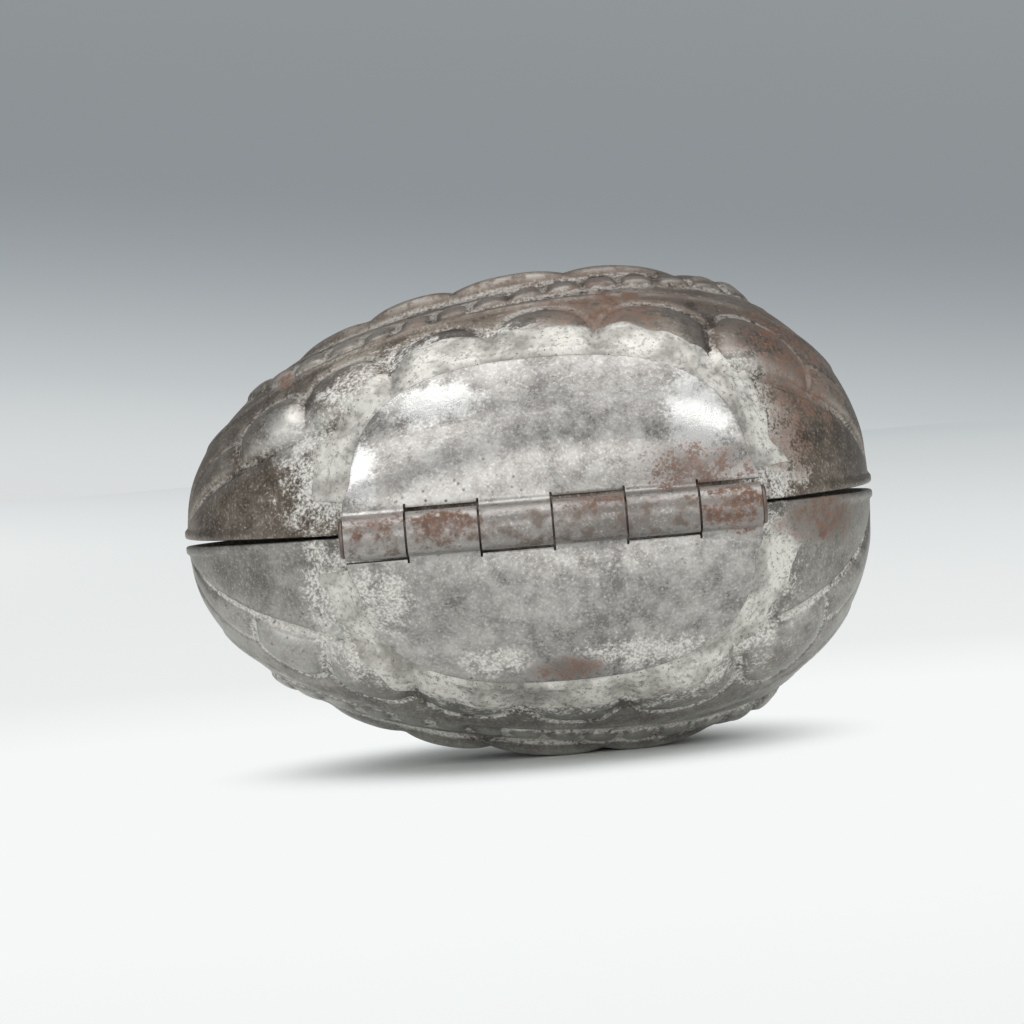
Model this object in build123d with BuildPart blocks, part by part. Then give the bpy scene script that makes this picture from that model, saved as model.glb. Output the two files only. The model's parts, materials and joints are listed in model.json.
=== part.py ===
"""Hinged two-part mould for a chocolate egg.

Two embossed halves of tinned sheet meet at a level parting plane. Along one side each half
carries a D-shaped hinge leaf, bedded on solder, and the leaves' rolled knuckles share one pin.
The mould stands ajar here, as it does when it is put away. It has no feet: it stands on the
raised oval along its crown, whose cushions are level across.

Frame: +X along the egg to its blunt end, -Y to the hinge, +Z up. The origin lies under the
middle of the egg's length, on the surface that the lower half stands on.
"""
import math
import os

from build123d import *

# The egg, over the sheet of the two halves
egg_length = 100.0
egg_radius = 34.0
blunt_length = 40.5
pointed_fullness = 2.0
blunt_fullness = 2.15
sheet = 1.0
rim_clearance = 0.05

# The out-turned lip that stiffens each rim
lip_height = 1.2
lip_proud = 0.4
lip_gap_at_hinge = 1.0

# How deep the foot of a boss lies in the egg before the sheet is hollowed out
boss_foot = 2.0

# The band of scallops: arches that stand on a groove along the rim, as shares of the length
groove_angle = 36.0
scallop_edges = (0.098, 0.198, 0.322, 0.467, 0.615, 0.775, 0.91)
scallop_proud = 1.5
arch_angle_at_point = 54.0
arch_angle_at_blunt_end = 61.0

# The raised oval along the crown: a chain of cushions, as shares of the length
cushion_edges = (0.187, 0.295, 0.419, 0.58, 0.739, 0.834)
cushion_proud = 0.9
oval_half_width = 9.8
oval_flare = 1.2
oval_past_chain = 1.6
oval_floor = 20.0

# The oval row of beads round the cushions
bead_row_start = 0.12
bead_row_end = 0.85
bead_row_half_width = 14.0
bead_pitch = 5.6
bead_radius = 2.3
bead_proud = 0.6

# The hinge: six knuckles, taken in turn by the two leaves
hinge_from_middle = 3.3
knuckle_count = 6
knuckle_pitch = 10.15
end_knuckle = 8.6
knuckle_gap = 0.25
knuckle_radius = 3.1
pin_radius = 2.1
pin_clearance = 0.05
pin_head_radius = 2.7
pin_head = 0.5
pin_end_play = 0.1
notch_clearance = 0.25

# The leaves: D-shaped plates, seen square on to the hinge
leaf_sheet = 0.9
leaf_to_rim = 0.15
leaf_half_width = 27.7
leaf_past_groove = 2.3
leaf_fullness = 2.6
leaf_edge_gap = 0.2
leaf_ride = 1.2
leaf_straight_angle = 5.0
leaf_hugging_angle = 27.0
leaf_angles = (0, 5, 10, 16, 22, 28, 34, 40, 46)

# The seam of solder along the edge of each leaf
solder_depth = 1.7
solder_spread = 2.2
solder_seam = 3.5
solder_from_hinge = 3.8
solder_angles = (4, 12, 20, 28, 36, 44, 52)

# How far the mould stands ajar
rest_opening = 1.7

tip = -egg_length / 2
widest = egg_length / 2 - blunt_length
pointed_length = egg_length - blunt_length
barrel_length = 2 * end_knuckle + (knuckle_count - 2) * knuckle_pitch
hinge_y = -(egg_radius + leaf_to_rim + knuckle_radius)
leaf_height = egg_radius * math.sin(math.radians(groove_angle)) + leaf_past_groove


def end_shape(x):
    """The half-length and the fullness of the end of the egg that holds x."""
    if x < widest:
        return pointed_length, pointed_fullness
    return blunt_length, blunt_fullness


def radius_at(x, inset=0.0):
    """The egg's radius at x, on a surface that lies inset inside the sheet's outer face."""
    reach, fullness = end_shape(x)
    share = min(abs(x - widest) / (reach - inset), 1.0)
    return (egg_radius - inset) * (1 - share**fullness) ** (1 / fullness)


def normal_at(x):
    """The outward normal of the egg's profile at x, as (along, out)."""
    reach, fullness = end_shape(x)
    share = (x - widest) / reach
    along = math.copysign(abs(share) ** (fullness - 1), share) / reach
    out = (radius_at(x) / egg_radius) ** (fullness - 1) / egg_radius
    return Vector(along, out).normalized()


def along_egg(share):
    return tip + share * egg_length


def spans(edges):
    """The middle and the half-length along the surface of each span between two edges."""
    for start, end in zip(edges, edges[1:]):
        first, last = along_egg(start), along_egg(end)
        chord = Vector(last - first, radius_at(last) - radius_at(first))
        yield (first + last) / 2, chord.length / 2


def off_egg(x, proud):
    """The point that stands proud of the egg's profile at x."""
    return Vector(x, radius_at(x)) + normal_at(x) * proud


def cushion_arches(inset=0.0):
    """The arch of each cushion, on the egg's profile."""
    stations = [along_egg(share) for share in cushion_edges]
    return [
        ThreePointArc(off_egg(a, -inset), off_egg((a + b) / 2, cushion_proud - inset), off_egg(b, -inset))
        for a, b in zip(stations, stations[1:])
    ]


parting_height = max(arch.arc_center.Y + arch.radius for arch in cushion_arches())
middle = Vector(0, 0, parting_height)
parting = Plane(middle)
egg_axis = Axis(middle, (-1, 0, 0))
hinge_axis = Axis((0, hinge_y, parting_height), (1, 0, 0))
face_on = Plane((hinge_from_middle, 0, parting_height), x_dir=(1, 0, 0), z_dir=(0, -1, 0))


def fan_plane(angle):
    """The plane through the egg's axis at an angle up from the rim at the hinge: local x runs
    along the egg and local y outwards."""
    turn = math.radians(angle)
    return Plane(middle, x_dir=(1, 0, 0), z_dir=(0, -math.sin(turn), -math.cos(turn)))


def egg_outline(inset, steps=8):
    """Half of the egg's outline, closed along its axis."""
    right_angle = math.pi / 2
    ends = ((pointed_length, -1), (blunt_length, 1))
    for reach, side in ends:
        stations = [widest + side * (reach - inset) * math.sin(right_angle * i / steps) for i in range(steps + 1)]
        Spline([(x, radius_at(x, inset)) for x in stations], tangents=[(side, 0), (0, -1)])
    Line((tip + inset, 0), (tip + egg_length - inset, 0))


def boss_section(x, reach, proud, inset, whole):
    """A round-topped section that stands proud of the egg at x, reaching a given distance
    each way along it. Its foot lies well inside the egg."""
    normal = normal_at(x)
    tangent = Vector(normal.Y, -normal.X)
    radius = (reach**2 + proud**2) / (2 * proud) - inset
    foot_depth = radius + inset - proud - boss_foot - inset
    half_foot = math.sqrt(radius**2 - foot_depth**2)
    centre = Vector(x, radius_at(x)) + normal * (proud - radius - inset)
    top = centre + normal * radius
    foot = centre + normal * foot_depth
    far = foot + tangent * half_foot
    near = foot - tangent * half_foot
    if whole:
        ThreePointArc(near, top, far)
        Line(far, near)
    else:
        lean = math.acos(foot_depth / radius) / 2
        shoulder = centre + (normal * math.cos(lean) + tangent * math.sin(lean)) * radius
        ThreePointArc(top, shoulder, far)
        Polyline(far, foot, top)


def reach_across(x, reach, proud):
    """How far round the egg a boss comes out of it, when its top is as round both ways."""
    boss_radius = (reach**2 + proud**2) / (2 * proud)
    return math.sqrt(2 * proud / (1 / boss_radius - 1 / radius_at(x)))


def round_boss(x, angle, reach, proud, inset):
    """A boss that is as round both ways, added to the part in hand."""
    plane = fan_plane(angle)
    with BuildSketch(plane) as section:
        with BuildLine():
            boss_section(x, reach, proud, inset, whole=False)
        make_face()
    normal = normal_at(x)
    start = plane.from_local_coords((x, radius_at(x)))
    outwards = plane.from_local_coords((x + normal.X, radius_at(x) + normal.Y)) - start
    revolve(section.sketch, axis=Axis(start, outwards), revolution_arc=360)


def scallop_band(inset):
    """The arches along both rims of one half."""
    with BuildPart() as band:
        for x, reach in spans(scallop_edges):
            share = (x - tip) / egg_length
            arch_angle = arch_angle_at_point + share * (arch_angle_at_blunt_end - arch_angle_at_point)
            crown = arch_angle - math.degrees(reach_across(x, reach, scallop_proud) / radius_at(x))
            round_boss(x, crown, reach, scallop_proud, inset)
        split(bisect_by=fan_plane(groove_angle + math.degrees(inset / egg_radius)), keep=Keep.BOTTOM)
        mirror(about=Plane.XZ)
    return band.part


def crown_oval(inset):
    """The raised oval: the chain of arches, level across, within an oval whose sides slope."""
    chain_middle = along_egg((cushion_edges[0] + cushion_edges[-1]) / 2)
    half_length = (cushion_edges[-1] - cushion_edges[0]) * egg_length / 2 + oval_past_chain
    with BuildPart() as raised:
        with BuildSketch(fan_plane(90)) as section:
            with BuildLine() as outline:
                arches = cushion_arches(inset)
                add(arches)
                near, far = arches[0] @ 0, arches[-1] @ 1
                Polyline((far.X, far.Y), (far.X, oval_floor), (near.X, oval_floor), (near.X, near.Y))
            make_face()
        extrude(section.sketch, amount=egg_radius / 2, both=True)
        ovals = []
        for height, flare in ((oval_floor, oval_flare), (egg_radius + cushion_proud, 0.0)):
            with BuildSketch(parting.offset(height)) as oval:
                with Locations((chain_middle, 0)):
                    Ellipse(half_length + flare - inset, oval_half_width + flare - inset)
            ovals.append(oval.sketch)
        loft(ovals, mode=Mode.INTERSECT)
    return raised.part


def bead_row(inset):
    """Beads at even steps round an oval, as seen from above the crown."""
    row_middle = along_egg((bead_row_start + bead_row_end) / 2)
    row_half_length = (bead_row_end - bead_row_start) * egg_length / 2
    around = math.pi * (3 * (row_half_length + bead_row_half_width) / 2
                        - math.sqrt(row_half_length * bead_row_half_width))
    count = round(around / bead_pitch)
    with BuildPart() as row:
        for number in range(count):
            turn = 2 * math.pi * (number + 0.5) / count
            x = row_middle + row_half_length * math.cos(turn)
            across = bead_row_half_width * math.sin(turn)
            angle = math.degrees(math.acos(-across / radius_at(x)))
            round_boss(x, angle, bead_radius, bead_proud, inset)
    return row.part


def embossed_half(inset):
    """The solid under one face of the upper half's sheet."""
    with BuildPart() as half:
        with BuildSketch(fan_plane(0)):
            with BuildLine():
                egg_outline(inset)
            make_face()
        revolve(axis=egg_axis, revolution_arc=180)
        add(scallop_band(inset))
        add(crown_oval(inset))
        add(bead_row(inset))
    return half.part


def leaf_back(x, angle):
    """How far from the egg's axis a leaf's back lies: straight along the hinge, and riding on
    the egg further up."""
    share = (angle - leaf_straight_angle) / (leaf_hugging_angle - leaf_straight_angle)
    share = min(max(share, 0.0), 1.0)
    hug = share * share * (3 - 2 * share)
    straight = (egg_radius + leaf_to_rim) / math.cos(math.radians(angle))
    return straight + hug * (radius_at(x) + leaf_ride - straight)


def fan_strip(angle, half_width, back, front):
    """A strip along the egg between two curves, on one plane of the fan."""
    steps = 6
    stations = [hinge_from_middle + half_width * (2 * i / steps - 1) for i in range(steps + 1)]
    with BuildSketch(fan_plane(angle)) as strip:
        with BuildLine():
            under = Spline([(x, back(x, angle)) for x in stations])
            over = Spline([(x, front(x, angle)) for x in stations])
            Line(under @ 0, over @ 0)
            Line(under @ 1, over @ 1)
        make_face()
    return strip.sketch


def cut_along_outline(spread, mode=Mode.INTERSECT):
    """Keeps or takes away what lies inside the D of a leaf, or inside a wider or narrower D."""
    half_width, height = leaf_half_width + spread, leaf_height + spread
    steps = 12
    points = []
    for step in range(steps + 1):
        turn = math.pi * step / steps
        across = math.copysign(abs(math.cos(turn)) ** (2 / leaf_fullness), math.cos(turn))
        points.append((half_width * across, height * abs(math.sin(turn)) ** (2 / leaf_fullness)))
    with BuildSketch(face_on) as outline:
        with BuildLine():
            arch = Spline(points, tangents=[(0, 1), (0, -1)])
            Line(arch @ 1, arch @ 0)
        make_face()
    extrude(outline.sketch, amount=egg_radius + 2 * knuckle_radius, mode=mode)


def knuckle_span(number):
    """Where a knuckle begins and ends along the egg, with half a gap at each joint."""
    last = knuckle_count - 1
    begin = hinge_from_middle - barrel_length / 2
    if number > 0:
        begin += end_knuckle + (number - 1) * knuckle_pitch + knuckle_gap / 2
    finish = hinge_from_middle + barrel_length / 2
    if number < last:
        finish -= end_knuckle + (last - 1 - number) * knuckle_pitch + knuckle_gap / 2
    return begin, finish


def barrel_rod(begin, finish, radius):
    """A round bar along the line of the hinge pin."""
    with BuildPart() as rod:
        with BuildSketch(Plane((begin, hinge_y, parting_height), z_dir=(1, 0, 0))):
            Circle(radius)
        extrude(amount=finish - begin)
    return rod.part


def hinge_leaf(own, others):
    """One leaf, as the closed upper half would carry it: the sheet, its knuckles and the
    notches that the other leaf's knuckles turn in."""
    with BuildPart() as leaf:
        loft([
            fan_strip(angle, leaf_half_width + leaf_sheet, leaf_back, lambda x, up: leaf_back(x, up) + leaf_sheet)
            for angle in leaf_angles
        ])
        cut_along_outline(0)
        split(bisect_by=parting.offset(leaf_edge_gap), keep=Keep.TOP)
        for number in others:
            begin, finish = knuckle_span(number)
            notch = barrel_rod(begin - knuckle_gap, finish + knuckle_gap, knuckle_radius + notch_clearance)
            add(notch, mode=Mode.SUBTRACT)
        for number in own:
            begin, finish = knuckle_span(number)
            add(barrel_rod(begin, finish, knuckle_radius))
            with BuildSketch(parting) as root:
                with Locations(((begin + finish) / 2, hinge_y + knuckle_radius)):
                    Rectangle(finish - begin, leaf_sheet, align=(Align.CENTER, Align.MAX))
            extrude(root.sketch, amount=knuckle_radius)
        start = hinge_from_middle - barrel_length / 2
        bore = barrel_rod(start, start + barrel_length, pin_radius + pin_clearance)
        add(bore, mode=Mode.SUBTRACT)
        add(outer_face, mode=Mode.SUBTRACT)
    return leaf.part


def leaf_solder(leaf):
    """The solder under a leaf's edge and round it, as the closed upper half would carry it."""
    with BuildPart() as solder:
        loft([
            fan_strip(
                angle,
                leaf_half_width + solder_spread,
                lambda x, up: radius_at(x) - sheet / 2,
                lambda x, up: min(radius_at(x) + solder_depth, leaf_back(x, up) + leaf_sheet / 2),
            )
            for angle in solder_angles
        ])
        cut_along_outline(solder_spread)
        cut_along_outline(-solder_seam, Mode.SUBTRACT)
        split(bisect_by=parting.offset(solder_from_hinge), keep=Keep.TOP)
        add(outer_face, mode=Mode.SUBTRACT)
        add(leaf, mode=Mode.SUBTRACT)
    return solder.part


outer_face = embossed_half(0.0)

with BuildPart() as closed_shell:
    add(outer_face)
    with BuildSketch(parting) as lip:
        with BuildLine():
            egg_outline(-lip_proud)
            mirror(about=Plane.XZ)
        make_face()
        with Locations((hinge_from_middle, -egg_radius)):
            Rectangle(barrel_length + 2 * lip_gap_at_hinge, egg_radius, mode=Mode.SUBTRACT)
    extrude(amount=lip_height)
    add(embossed_half(sheet), mode=Mode.SUBTRACT)
    split(bisect_by=parting.offset(rim_clearance / 2), keep=Keep.TOP)

upper_knuckles = range(0, knuckle_count, 2)
lower_knuckles = range(1, knuckle_count, 2)
closed_upper_leaf = hinge_leaf(upper_knuckles, lower_knuckles)
closed_lower_leaf = hinge_leaf(lower_knuckles, upper_knuckles)

with BuildPart() as upper_shell:
    add(closed_shell.part.rotate(hinge_axis, rest_opening))

with BuildPart() as lower_shell:
    mirror(closed_shell.part, about=parting)

with BuildPart() as upper_hinge_leaf:
    add(closed_upper_leaf.rotate(hinge_axis, rest_opening))

with BuildPart() as lower_hinge_leaf:
    mirror(closed_lower_leaf, about=parting)

with BuildPart() as upper_leaf_solder:
    add(leaf_solder(closed_upper_leaf).rotate(hinge_axis, rest_opening))

with BuildPart() as lower_leaf_solder:
    mirror(leaf_solder(closed_lower_leaf), about=parting)

with BuildPart() as hinge_pin:
    barrel_start = hinge_from_middle - barrel_length / 2 - pin_end_play
    barrel_end = hinge_from_middle + barrel_length / 2 + pin_end_play
    add(barrel_rod(barrel_start, barrel_end, pin_radius))
    add(barrel_rod(barrel_start - pin_head, barrel_start, pin_head_radius))
    add(barrel_rod(barrel_end, barrel_end + pin_head, pin_head_radius))
    rims = faces().filter_by(Axis.X).sort_by(Axis.X)
    fillet(rims.first.edges() + rims.last.edges(), radius=pin_head * 0.8)

print("the egg's middle stands", round(parting_height, 4), "mm above the table")

os.makedirs("parts", exist_ok=True)

upper_shell.part.label = "upper_shell"
lower_shell.part.label = "lower_shell"
upper_hinge_leaf.part.label = "upper_hinge_leaf"
lower_hinge_leaf.part.label = "lower_hinge_leaf"
upper_leaf_solder.part.label = "upper_leaf_solder"
lower_leaf_solder.part.label = "lower_leaf_solder"
hinge_pin.part.label = "hinge_pin"

export_step(upper_shell.part, "parts/upper_shell.step")
export_step(lower_shell.part, "parts/lower_shell.step")
export_step(upper_hinge_leaf.part, "parts/upper_hinge_leaf.step")
export_step(lower_hinge_leaf.part, "parts/lower_hinge_leaf.step")
export_step(upper_leaf_solder.part, "parts/upper_leaf_solder.step")
export_step(lower_leaf_solder.part, "parts/lower_leaf_solder.step")
export_step(hinge_pin.part, "parts/hinge_pin.step")
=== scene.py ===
"""The look of the hinged egg mould: pressed tinned halves, hinge leaves, solder and pin."""
import json
import math

import bpy
import numpy as np
from mathutils import Matrix, Vector


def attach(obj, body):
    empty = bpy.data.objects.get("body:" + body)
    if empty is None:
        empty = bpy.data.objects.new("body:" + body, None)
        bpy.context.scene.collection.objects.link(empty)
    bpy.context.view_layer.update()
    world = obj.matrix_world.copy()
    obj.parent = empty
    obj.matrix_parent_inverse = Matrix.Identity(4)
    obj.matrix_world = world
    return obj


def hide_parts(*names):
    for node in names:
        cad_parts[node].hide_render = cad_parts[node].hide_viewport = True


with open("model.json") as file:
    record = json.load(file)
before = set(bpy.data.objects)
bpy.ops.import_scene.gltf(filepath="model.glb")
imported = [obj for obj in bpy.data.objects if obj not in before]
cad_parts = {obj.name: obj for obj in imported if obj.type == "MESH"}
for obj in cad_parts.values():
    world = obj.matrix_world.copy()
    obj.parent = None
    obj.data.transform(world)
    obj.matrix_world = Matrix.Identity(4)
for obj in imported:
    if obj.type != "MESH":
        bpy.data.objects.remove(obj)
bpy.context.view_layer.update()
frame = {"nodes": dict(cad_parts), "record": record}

# Sizes in millimetres and angles in degrees, as in the solids
mm = 0.001
radius = 34.0
pointed_length, blunt_length = 59.5, 40.5
pointed_fullness, blunt_fullness = 2.0, 2.15
egg_length = pointed_length + blunt_length
tip = -egg_length / 2
widest = tip + pointed_length
sheet = 1.0
rim_clearance = 0.025
lip_height, lip_proud = 1.22, 0.42
hinge = Vector(frame["record"]["behaviour"]["joints"][0]["pos_m"]) * 1000
middle_height = hinge.z
rest_opening = 1.7
barrel_length = 57.8
leaf_half_width, leaf_height, leaf_fullness = 27.7, 22.3, 2.6
leaf_sheet = 0.9
# A leaf stands straight beside the rim, then hugs the egg over the foot of the scallops
leaf_clearance, leaf_seat, leaf_margin = 0.15, 1.2, 0.6
knuckles, knuckle_gap = 6, 0.25
end_knuckle, knuckle_pitch = 8.6, 10.15
bend_radius, bend_height = 1.5, 3.99
roll_radius, roll_start, roll_end = 2.65, 73.9, 318.0
opened = (
    Matrix.Translation(hinge * mm)
    @ Matrix.Rotation(math.radians(rest_opening), 4, "X")
    @ Matrix.Translation(-hinge * mm)
)

# The relief. Places along the egg are millimetres from the pointed tip
groove_angle, groove_climb = 33, 5.5
groove_depth, groove_width, groove_drop = 0.32, 0.5, 0.35
scallop_edges = np.array([-9.8, 9.8, 19.8, 32.2, 46.7, 61.5, 77.5, 91.0, 109.0])
scallop_tops = np.array([52.0, 55.0, 56.0, 57.0, 58.5, 58.3, 61.0, 60.0])
scallop_proud, scallop_foot = 1.85, 3.2
valley_angle, valley_climb = 46, 3
band_proud = 0.28
# Ovals in plan: the middle along the egg, half the length and half the width
ridge_middle, ridge_reaches, ridge_half_width = 52.0, (47.5, 43.5), 16.0
ridge_proud, ridge_width = 0.5, 0.42
line_oval = 51.0, 36.0, 11.3
line_proud, line_width = 0.14, 0.3
crown_oval = 51.05, 34.0, 9.9
cushion_edges = np.array([18.7, 29.5, 41.9, 58.0, 73.9, 83.4])
cushion_proud = np.array([0.6, 0.9, 0.9, 0.75, 0.7])
bead_count, bead_proud, bead_half_length = 30, 0.72, 2.5
bead_round_side, bead_flat_side = 1.9, 1.4
bead_middle, bead_reach, bead_half_width = 47.5, 35.5, 13.1
dent_depth = 0.16
marked_relief, crease_angle = 0.3, 58
# The relief dies out where the egg's radius falls between these
scallop_fade, relief_fade, dent_fade = (3, 24), (2.0, 9.0), (4, 14)


def ramp(value, start, end):
    """Rises smoothly from 0 at start to 1 at end."""
    share = np.clip((value - start) / (end - start), 0, 1)
    return share * share * (3 - 2 * share)


def wander(value, lengths, seed):
    """A smooth seeded wave between about -1 and 1, made of the given wavelengths."""
    chance = np.random.default_rng(seed)
    waves = (np.sin(2 * math.pi * value / length + chance.uniform(0, 7)) for length in lengths)
    return sum(waves) / len(lengths)


def shape_at(x):
    """The length and fullness of the end that x lies on, and how far along it x lies."""
    pointed = x < widest
    reach = np.where(pointed, pointed_length, blunt_length)
    fullness = np.where(pointed, pointed_fullness, blunt_fullness)
    return reach, fullness, np.clip(np.abs(x - widest) / reach, 0, 1)


def egg_radius(x):
    """The bare egg's radius."""
    _, fullness, share = shape_at(x)
    return radius * (1 - share**fullness) ** (1 / fullness)


def outward_share(x):
    """How much of the egg's normal points away from its axis."""
    reach, fullness, share = shape_at(x)
    along = share ** (fullness - 1) / reach
    out = (egg_radius(x) / radius) ** (fullness - 1) / radius
    return out / np.hypot(along, out)


def inside_oval(t, across, middle, half_length, half_width):
    """How far a point lies inside an oval, in plan."""
    u = (t - middle) / half_length
    v = across / half_width
    level = np.maximum(np.hypot(u, v), 1e-6)
    slope = np.hypot(u / half_length, v / half_width) / level
    return (1 - level) / np.maximum(slope, 1e-6)


def raised_line(past, proud, width):
    """A rounded line, or a groove where proud is below zero, at a distance past its middle."""
    return proud * np.exp(-(past / width) ** 2)


def scallops(t, up, here, within_ridge):
    """The groove, the row of flat-bottomed scallops over it and the flowing band above them."""
    groove = groove_angle + groove_climb * t / egg_length
    past_groove = here * np.radians(up - groove)
    cut = raised_line(past_groove + groove_drop, -groove_depth, groove_width)

    span = np.clip(np.searchsorted(scallop_edges, t) - 1, 0, len(scallop_tops) - 1)
    start, end = scallop_edges[span], scallop_edges[span + 1]
    p = np.clip(2 * (t - start) / (end - start) - 1, -1, 1)
    valley = valley_angle + valley_climb * t / egg_length
    arch = valley + (scallop_tops[span] - valley) * (1 - np.abs(p) ** 2.4) ** 0.6
    tall = np.maximum(here * np.radians(arch - groove), 0.1)
    q = np.clip(past_groove / tall, 0, 1)
    rise = np.sqrt(np.clip(1 - (1 - np.clip(past_groove / scallop_foot, 0, 1)) ** 2, 0, 1))
    fall = (1 - q**3.0) ** 0.75
    sides = (1 - np.abs(p) ** 2.8) ** 0.65
    scallop = scallop_proud * rise * fall * sides * ramp(here, *scallop_fade)
    past_arch = here * np.radians(up - arch)
    band = band_proud * ramp(past_arch, 0.5, 1.4) * ramp(-within_ridge, -0.2, 0.3)
    return cut + np.maximum(scallop, band)


def bead_places():
    """Beads at even steps round their oval, which is wider towards the pointed end."""
    turn = np.linspace(0, 2 * math.pi, 2001)
    t = bead_middle + bead_reach * np.cos(turn)
    across = (bead_half_width - np.tanh((t - ridge_middle) / 10)) * np.sin(turn)
    walked = np.concatenate([[0], np.cumsum(np.hypot(np.diff(t), np.diff(across)))])
    steps = (np.arange(bead_count) + 0.5) * walked[-1] / bead_count
    places = []
    for step in steps:
        a = np.interp(step - 0.5, walked, t), np.interp(step - 0.5, walked, across)
        b = np.interp(step + 0.5, walked, t), np.interp(step + 0.5, walked, across)
        run = np.array(b) - np.array(a)
        places.append(((a[0] + b[0]) / 2, (a[1] + b[1]) / 2, *(run / np.hypot(*run))))
    return places


def beads(t, across):
    """The beads, flat outwards and rounded towards the crown."""
    proud = np.zeros_like(t)
    for bead_t, bead_across, along_t, along_across in bead_places():
        a = (t - bead_t) * along_t + (across - bead_across) * along_across
        b = (t - bead_t) * along_across - (across - bead_across) * along_t
        near = (np.abs(a) < 2.6) & (np.abs(b) < 2.4)
        long_way = (np.abs(a) / bead_half_length) ** 2.3
        body = np.clip(1 - long_way - (np.clip(-b, 0, None) / bead_round_side) ** 2, 0, 1)
        flat_side = np.clip((bead_flat_side - b) / 0.7, 0, 1)
        flat_side = np.sqrt(np.clip(1 - (1 - flat_side) ** 2, 0, 1))
        proud = proud + np.where(near, bead_proud * np.sqrt(body) * flat_side, 0)
    return proud


def crown_cushions(x, up, across):
    """The chain of cushions along the crown, each level across."""
    t, here = x - tip, egg_radius(x)
    raised = np.full_like(t, -9.0)
    for first, last, proud in zip(cushion_edges, cushion_edges[1:], cushion_proud):
        p = (2 * t - first - last) / (last - first)
        raised = np.maximum(raised, proud * (1 - np.abs(p) ** 2.6))
    drop = here - np.sqrt(np.clip(here**2 - across**2, 0, None))
    upright = np.clip(outward_share(x) * np.sin(np.radians(up)), 0.5, 1)
    within_crown = inside_oval(t, across, *crown_oval)
    cushion = np.clip(raised + drop, 0, None) / upright * ramp(within_crown, -0.6, 2.6)
    return cushion * (up > 50)


def pressed_relief(x, angle):
    """How far the pressing stands proud of the egg at x and at an angle in degrees round from
    the hinge side's rim."""
    t = x - tip
    up = np.minimum(angle, 180 - angle)
    here = egg_radius(x)
    across = -here * np.cos(np.radians(angle))
    height = here * np.sin(np.radians(up))
    ridge_reach = np.where(t < ridge_middle, *ridge_reaches)
    within_ridge = inside_oval(t, across, ridge_middle, ridge_reach, ridge_half_width)
    within_line = inside_oval(t, across, *line_oval)
    relief = scallops(t, up, here, within_ridge)
    relief = relief + raised_line(within_ridge - 0.2, ridge_proud, ridge_width)
    relief = relief + raised_line(within_line - 0.2, line_proud, line_width)
    relief = relief + beads(t, across) + crown_cushions(x, up, across)
    relief = relief * ramp(here, *relief_fade)

    # It is half pressed flat under the leaf, and a little outside its edge
    face_x = np.abs(x - hinge.x) / (leaf_half_width + leaf_margin)
    face_up = height / (leaf_height + leaf_margin)
    past_leaf = ramp(face_x**leaf_fullness + face_up**leaf_fullness, 1.0, 1.3)
    relief = np.where(angle < 90, relief * (0.5 + 0.5 * past_leaf), relief)
    dents = wander(t + 0.3 * angle, (31, 47, 73), 5) * wander(angle - 0.2 * t, (29, 41, 66), 8)
    return relief + dent_depth * dents * ramp(height, 2, 8) * ramp(here, *dent_fade)


def lip_relief(x, angle):
    """The out-turned lip along the rim, which stops short of the hinge barrel."""
    height = egg_radius(x) * np.sin(np.radians(np.minimum(angle, 180 - angle)))
    level = np.clip(np.abs(height - lip_height / 2) / (lip_height / 2), 0, 1)
    lip = lip_proud * np.sqrt(1 - level**4)
    clear = ramp(np.abs(x - hinge.x) - barrel_length / 2, 0.7, 1.5)
    uneven = 0.03 * wander(x, (4.3, 7.9, 13), 3) * (height < 1.5)
    return np.where(angle < 90, lip * clear, lip) + uneven


def softened(grid, rounds):
    """A grid of heights, evened out with its neighbours a number of times."""
    for _ in range(rounds):
        padded = np.pad(grid, 1, mode="edge")
        grid = (padded[2:, 1:-1] + padded[:-2, 1:-1] + 2 * grid) / 4
        padded = np.pad(grid, 1, mode="edge")
        grid = (padded[1:-1, 2:] + padded[1:-1, :-2] + 2 * grid) / 4
    return grid


def new_object(name, data):
    """An object in the scene with this mesh, lamp or lens."""
    item = bpy.data.objects.new(name, data)
    bpy.context.collection.objects.link(item)
    return item


def put(tree, kind, inputs=None, **settings):
    """Adds a node with its settings, and sets or links its inputs. A node given as an input
    stands for its first output in use."""
    node = tree.nodes.new(kind)
    for name, value in settings.items():
        setattr(node, name, value)
    for socket, source in (inputs or {}).items():
        if isinstance(source, bpy.types.Node):
            source = next(output for output in source.outputs if output.enabled)
        if isinstance(source, bpy.types.NodeSocket):
            tree.links.new(source, node.inputs[socket])
        else:
            node.inputs[socket].default_value = source
    return node


def paint(code):
    """An sRGB hex colour as linear values."""
    parts = [int(code[i:i + 2], 16) / 255 for i in (1, 3, 5)]
    return tuple(c / 12.92 if c <= 0.04045 else ((c + 0.055) / 1.055) ** 2.4 for c in parts) + (1.0,)


def grade(colour_ramp, stops):
    """Gives a colour ramp its stops, pairs of place and hex colour in rising order."""
    elements = colour_ramp.elements
    for element, (place, code) in ((elements[0], stops[0]), (elements[1], stops[-1])):
        element.position, element.color = place, paint(code)
    for place, code in stops[1:-1]:
        elements.new(place).color = paint(code)


# The pressing of one half: a flat blank is wrapped to the egg with its relief, and given its wall
pressing_sizes = {
    "Radius": radius * mm,
    "Widest": widest * mm,
    "Pointed Length": pointed_length * mm,
    "Blunt Length": blunt_length * mm,
    "Pointed Fullness": pointed_fullness,
    "Blunt Fullness": blunt_fullness,
    "Sheet": sheet * mm,
    "Middle Height": middle_height * mm,
    "Rim Clearance": rim_clearance * mm,
    "Way Up": 1.0,
}


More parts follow.
